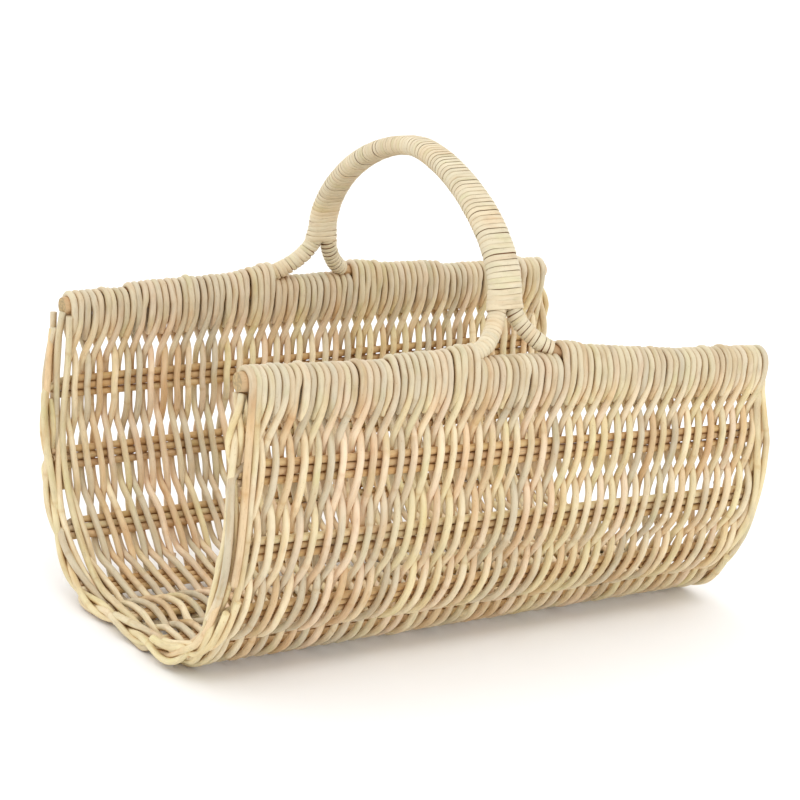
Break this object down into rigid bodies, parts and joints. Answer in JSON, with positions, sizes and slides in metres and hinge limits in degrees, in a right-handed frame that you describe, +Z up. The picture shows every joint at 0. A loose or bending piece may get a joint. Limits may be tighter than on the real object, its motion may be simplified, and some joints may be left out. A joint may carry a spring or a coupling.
{
  "type": "wicker log basket",
  "caption": "Open-ended woven willow trough for firewood, with straight wrapped rails, rows of stakes, plaited end borders and a cane-bound hoop handle across the middle.",
  "frame": {"origin": "middle of the floor, on the level the basket stands on", "axes": "+X along the trough, +Y across it from the near wall to the far wall, +Z up"},
  "size_m": [0.5726, 0.384, 0.4449],
  "materials": {
    "rail_wood": "matte peeled wood",
    "stake_willow": "satin peeled willow, golden tan",
    "woven_willow": "satin peeled willow, cream to tan",
    "border_willow": "satin peeled willow, cream",
    "handle_core_wood": "matte peeled wood",
    "binding_cane": "satin flat cane, pale cream"
  },
  "bodies": {
    "root": {"rail_near": "rail_wood", "rail_far": "rail_wood", "stake_row01_a": "stake_willow", "stake_row01_b": "stake_willow", "stake_row01_c": "stake_willow", "stake_row02_a": "stake_willow", "stake_row02_b": "stake_willow", "stake_row02_c": "stake_willow", "stake_row03_a": "stake_willow", "stake_row03_b": "stake_willow", "stake_row03_c": "stake_willow", "stake_row04_a": "stake_willow", "stake_row04_b": "stake_willow", "stake_row04_c": "stake_willow", "stake_row05_a": "stake_willow", "stake_row05_b": "stake_willow", "stake_row05_c": "stake_willow", "stake_row06_a": "stake_willow", "stake_row06_b": "stake_willow", "stake_row06_c": "stake_willow", "stake_row07_a": "stake_willow", "stake_row07_b": "stake_willow", "stake_row07_c": "stake_willow", "stake_row08_a": "stake_willow", "stake_row08_b": "stake_willow", "stake_row08_c": "stake_willow", "stake_row09_a": "stake_willow", "stake_row09_b": "stake_willow", "stake_row09_c": "stake_willow", "stake_row10_a": "stake_willow", "stake_row10_b": "stake_willow", "stake_row10_c": "stake_willow", "weave_panel_1": "woven_willow", "weave_panel_2": "woven_willow", "weave_panel_3": "woven_willow", "weave_panel_4": "woven_willow", "weave_panel_5": "woven_willow", "weave_panel_6": "woven_willow", "weave_panel_7": "woven_willow", "weave_panel_8": "woven_willow", "weave_panel_9": "woven_willow", "border_left_edge": "border_willow", "border_left_outer": "border_willow", "border_left_inner": "border_willow", "border_right_edge": "border_willow", "border_right_outer": "border_willow", "border_right_inner": "border_willow", "handle_core_left": "handle_core_wood", "handle_wrap_near_left": "binding_cane", "handle_wrap_far_left": "binding_cane", "handle_core_right": "handle_core_wood", "handle_wrap_near_right": "binding_cane", "handle_wrap_far_right": "binding_cane", "handle_wrap_hoop": "binding_cane"}
  },
  "joints": []
}
